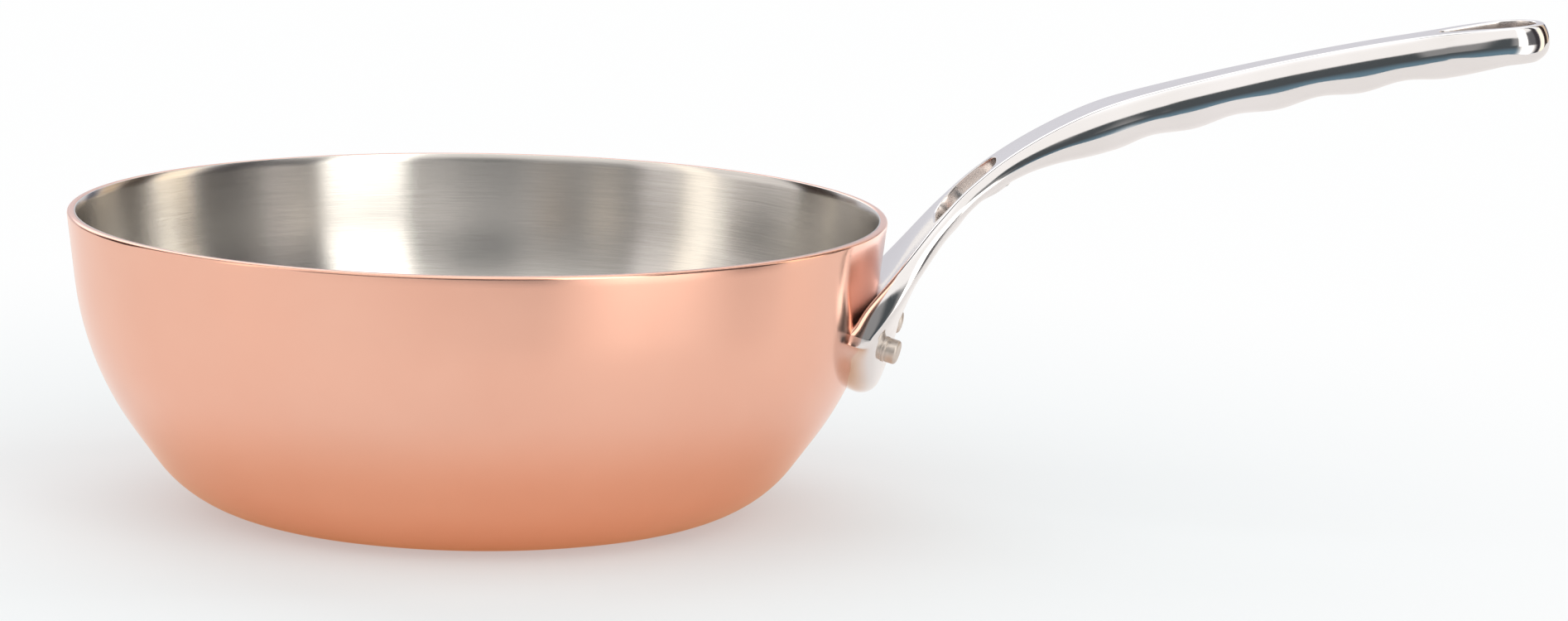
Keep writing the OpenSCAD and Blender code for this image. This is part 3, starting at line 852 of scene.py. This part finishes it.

# %% [markdown]
# ## Polished cast steel
#
# The casting is polished by hand until it mirrors the room, and the wheel
# leaves it very slightly wavy. Without that wave the reflections look drawn
# with a ruler. So a wide, shallow bump lies under the fine grain. Inside the
# window and the slot the finish is duller, and its colour is darker and
# warmer, which is painted shade and a painted warm reflection there. The
# attribute that was set on those faces says where.

# %% Polished cast steel
cast, tree, shader, at = metal("polished cast steel")
wave = noise(tree, at, scale=45, detail=2)
grain = noise(tree, at, scale=1500, detail=3, roughness=0.6)
within_hole = add(tree, "Attribute", attribute_name="inside").outputs["Fac"]
outer = layer(tree, (0.80, 0.79, 0.79), (0.84, 0.83, 0.84), spread(tree, wave, 0, 1))
# Inside the holes the colour is darker and warmer: painted shade and a painted warm reflection. The
# higher roughness there is the real duller finish.
set_finish(tree, shader,
           colour=layer(tree, outer, (0.76, 0.72, 0.70), within_hole),
           roughness=span(tree, within_hole, spread(tree, grain, 0.07, 0.12), 0.22),
           normal=bump(tree, grain, 0.8 * micron, bump(tree, wave, 40 * micron)))
handle.data.materials.append(cast)
print("polished cast steel:", len(tree.nodes), "nodes")

# %% [markdown]
# ## Hammered rivet steel
#
# The rivets are set with a tool and not polished afterwards, so they are
# satin and a little warmer than the handle. Small dents could be modelled,
# but at this size a soft bump a hundredth of a millimetre deep is enough to
# break the reflection.

# %% Hammered rivet steel
hammered, tree, shader, at = metal("hammered rivet steel")
dents = noise(tree, at, scale=320, detail=2)
grain = noise(tree, at, scale=2500, detail=3)
set_finish(tree, shader,
           colour=layer(tree, (0.66, 0.60, 0.55), (0.76, 0.71, 0.66), spread(tree, dents, 0, 1)),
           roughness=spread(tree, grain, 0.42, 0.52),
           normal=bump(tree, grain, 3 * micron, bump(tree, dents, 12 * micron)))
for rivet in rivets:
    rivet.data.materials.append(hammered)
print("hammered rivet steel:", len(tree.nodes), "nodes")

# %% [markdown]
# ## The studio
#
# Polished metal shows the room more than itself. So the room is what a small
# product studio has: a sheet of white paper on a table, a big soft light
# above, a dark space in front of the table, where the camera stands, and
# upright boards round it, some white and some black. The paper's front edge
# runs at a slant. It shows in the grip as the lower end of its dark band,
# and the slant keeps that band even along the grip.

# %% The paper on the table
paper_front, paper_skew, paper_back, paper_side, paper_mid = -0.5, 0.9, 2.6, 1.5, 0.1
bm = bmesh.new()
bmesh.ops.create_grid(bm, x_segments=1, y_segments=1, size=1)
for v in bm.verts:
    x = v.co.x * paper_side + paper_mid
    v.co = (x, paper_front + paper_skew * x if v.co.y < 0 else paper_back, 0)
floor_mesh = bpy.data.meshes.new("floor")
bm.to_mesh(floor_mesh)
bm.free()
floor = bpy.data.objects.new("floor", floor_mesh)
bpy.context.scene.collection.objects.link(floor)
floor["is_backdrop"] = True
print("paper from", paper_front, "m in front of the pan's middle to", paper_back, "m behind it")

# %% [markdown]
# A product photo's paper is so bright that its shadow is faint. Light Path
# gives that look without more light on the pan: what the camera and the metal
# see of the paper is mixed with plain white of strength 1, and the shadow
# stays in the other part of the mix. Close to the pan the metal sees the
# paper warm, because the copper's own glow lies on it there.

# %% The paper's look in the camera and in the metal
white_share, far_share, shadow_r, clear_r = 0.4, 0.96, 0.12, 0.48
shine_share, near_share, glow_r, glow_full_r = 0.5, 0.33, 0.15, 0.085
floor_shade = bpy.data.materials.new("white paper")
floor_shade.use_nodes = True
tree = floor_shade.node_tree
paper = tree.nodes["Principled BSDF"]
paper.inputs["Roughness"].default_value = 1
paper.inputs["Specular IOR Level"].default_value = 0

def seen_rays(tree):
    """Rays from the camera, also through glass, and rays that metal reflects."""
    rays = add(tree, "LightPath").outputs
    return plus(tree, rays["Is Camera Ray"], rays["Is Transmission Ray"]), rays["Is Glossy Ray"]

by_camera, by_metal = seen_rays(tree)
paper_colour = layer(tree, (0.86, 0.86, 0.86), (0.81, 0.885, 0.925), by_camera)
tree.links.new(paper_colour, paper.inputs["Base Color"])
place = add(tree, "TexCoord").outputs["Object"]
apart = add(tree, "VectorMath", {0: place}, operation="LENGTH").outputs["Value"]
near = ramp(tree, apart, glow_r, glow_full_r)
warm = layer(tree, (1, 0.94, 0.90), (1, 0.56, 0.27), near)
glow = add(tree, "Emission", {"Color": layer(tree, (1, 1, 1), warm, by_metal), "Strength": 1})
camera_white = span(tree, ramp(tree, apart, shadow_r, clear_r), white_share, far_share)
metal_white = span(tree, near, shine_share, near_share)
mixed = plus(tree, times(tree, by_camera, camera_white), times(tree, by_metal, metal_white))
paper_look = add(tree, "MixShader", {0: mixed, 1: paper.outputs[0], 2: glow.outputs[0]})
tree.links.new(paper_look.outputs[0], tree.nodes["Material Output"].inputs["Surface"])
floor_mesh.materials.append(floor_shade)
print("white paper:", len(tree.nodes), "nodes")

# %% [markdown]
# ## The room
#
# The room could be built from lamps and boards, but then each reflection
# would shift with every move of them. A world painted by direction is easier
# to place: it has an angle round the pan, 0 towards the camera and 90 towards
# the handle's end, and an angle up from the horizon. Each layer covers what
# lies under it inside its own patch of angles. The camera itself sees plain
# white.

# %% The angles of a direction, and a patch between angles
world = bpy.data.worlds.new("studio")
bpy.context.scene.world = world
world.use_nodes = True
tree = world.node_tree
tree.nodes.clear()
to_degrees = 180 / math.pi
way = add(tree, "SeparateXYZ", {"Vector": add(tree, "TexCoord").outputs["Generated"]})
toward = times(tree, way.outputs["Y"], -1)
angle = add(tree, "Math", {0: way.outputs["X"], 1: toward}, operation="ARCTAN2").outputs[0]
rise = add(tree, "Math", {0: way.outputs["Z"]}, operation="ARCSINE").outputs[0]
around, up = times(tree, angle, to_degrees), times(tree, rise, to_degrees)

def within(value, low, high, soft):
    return times(tree, ramp(tree, value, low - soft, low + soft),
                 ramp(tree, value, high + soft, high - soft))

def patch(left, right, low, high, soft_side=2, soft_edge=2):
    return times(tree, within(around, left, right, soft_side), within(up, low, high, soft_edge))

# %% The room's light, by direction
ceiling, black = (1.42, 1.41, 1.40), (0.08, 0.09, 0.095)
# Behind the pan, a pale wall runs up into the bright ceiling
room = layer(tree, (0.72, 0.71, 0.75), ceiling, ramp(tree, up, 12, 50))
# In front it is dark up to the horizon, dim above it, and bright from 30 degrees up
front = layer(tree, (0.15, 0.24, 0.30), black, ramp(tree, up, -24, 2))
front = layer(tree, front, (0.30, 0.295, 0.29), ramp(tree, up, 1, 5))
front = layer(tree, front, (1.10, 1.06, 1.02), ramp(tree, up, 24, 32))
front = layer(tree, front, ceiling, ramp(tree, up, 60, 85))
room = layer(tree, room, front, within(around, -93, 89, 3))
# The camera on its stand is a black shape in the middle
room = layer(tree, room, black, patch(-8, 14, -2, 29, 6, 3))

# Each board's left and right side, lower and upper edge and softness, in
# degrees, and its colour
boards = [(53, 97, -30, 38, 3, (0.15, 0.145, 0.15)), (80, 97, -30, 65, 4, (0.05, 0.045, 0.05)),
          (34, 74, -40, 0, 14, (2.1, 2.0, 1.9)), (27, 53, 0, 62, 2, (2.5, 2.42, 2.27)),
          (100, 116, -25, 30, 2, (1.6, 1.35, 1.05)), (118, 135, -60, 80, 2, (0.03, 0.015, 0.01)),
          (136, 148, -60, 55, 2, (0.75, 0.56, 0.38)), (149, 160, -60, 12, 2, (0.10, 0.11, 0.15)),
          (-59, -45, -20, 50, 3, (0.95, 0.90, 0.88)), (-71, -59, -20, 55, 2, (1.6, 1.47, 1.3)),
          (-104, -71, -20, 50, 2, (0.95, 0.90, 0.87)), (-128, -105, -30, 80, 2, (0.03, 0.015, 0.01)),
          (-140, -128, -30, 12, 3, (0.25, 0.20, 0.17)), (-172, -136, 13, 55, 3, (1.7, 1.65, 1.65))]
for left, right, low, high, soft, colour in boards:
    room = layer(tree, room, colour, patch(left, right, low, high, soft))
lit = add(tree, "Background", {"Color": room, "Strength": 1})
white = add(tree, "Background", {"Color": (1, 1, 1, 1), "Strength": 1})
world_look = add(tree, "MixShader", {0: seen_rays(tree)[0], 1: lit.outputs[0], 2: white.outputs[0]})
add(tree, "OutputWorld", {"Surface": world_look.outputs[0]})
print("the room has", len(boards), "boards")

# %% [markdown]
# ## The camera
#
# The camera stands about 1.6 m in front of the pan, a little above it, with a
# long lens. Its place, its three turns and its focal length were fitted to
# the ellipses of the rim and the base. The object's own matrix is set from
# those turns, because tracking the pan with a constraint would lose the
# slight roll.

# %% The camera, as the photo was taken
photo_w, focal_px, sensor_w = 1894, 6655.91, 36
camera_at = Vector((0.1394, -1.5939, 0.3325))
# Its turns to the side, down and about its own axis, in radians
yaw, pitch, roll = math.radians(-1.77), 0.1691492, 0.0225151
ahead = Vector((math.sin(yaw) * math.cos(pitch), math.cos(yaw) * math.cos(pitch), -math.sin(pitch)))
level = Vector((math.cos(yaw), -math.sin(yaw), 0))
upright = level.cross(ahead)
right = math.cos(roll) * level + math.sin(roll) * upright
above = math.cos(roll) * upright - math.sin(roll) * level
camera = bpy.data.objects.new("camera", bpy.data.cameras.new("camera"))
bpy.context.scene.collection.objects.link(camera)
camera.matrix_world = Matrix.LocRotScale(
    camera_at, Matrix((right, above, -ahead)).transposed(), None)
camera.data.sensor_width = sensor_w
camera.data.lens = sensor_w * focal_px / photo_w
bpy.context.scene.camera = camera
bpy.context.scene.view_settings.view_transform = "Standard"
print("lens", round(camera.data.lens, 1), "mm")

# %% [markdown]
# ## Measure the pan
#
# The finished pieces must be as large as the CAD model. Both boxes are
# measured and compared, and their largest difference is printed.

# %% Measure the pan, and finish
scene_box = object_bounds()
off = max(abs(a - b) for c, d in zip(cad_box, scene_box) for a, b in zip(c, d))
print("the pieces' box is within", round(1000 * off, 2), "mm of the CAD box")
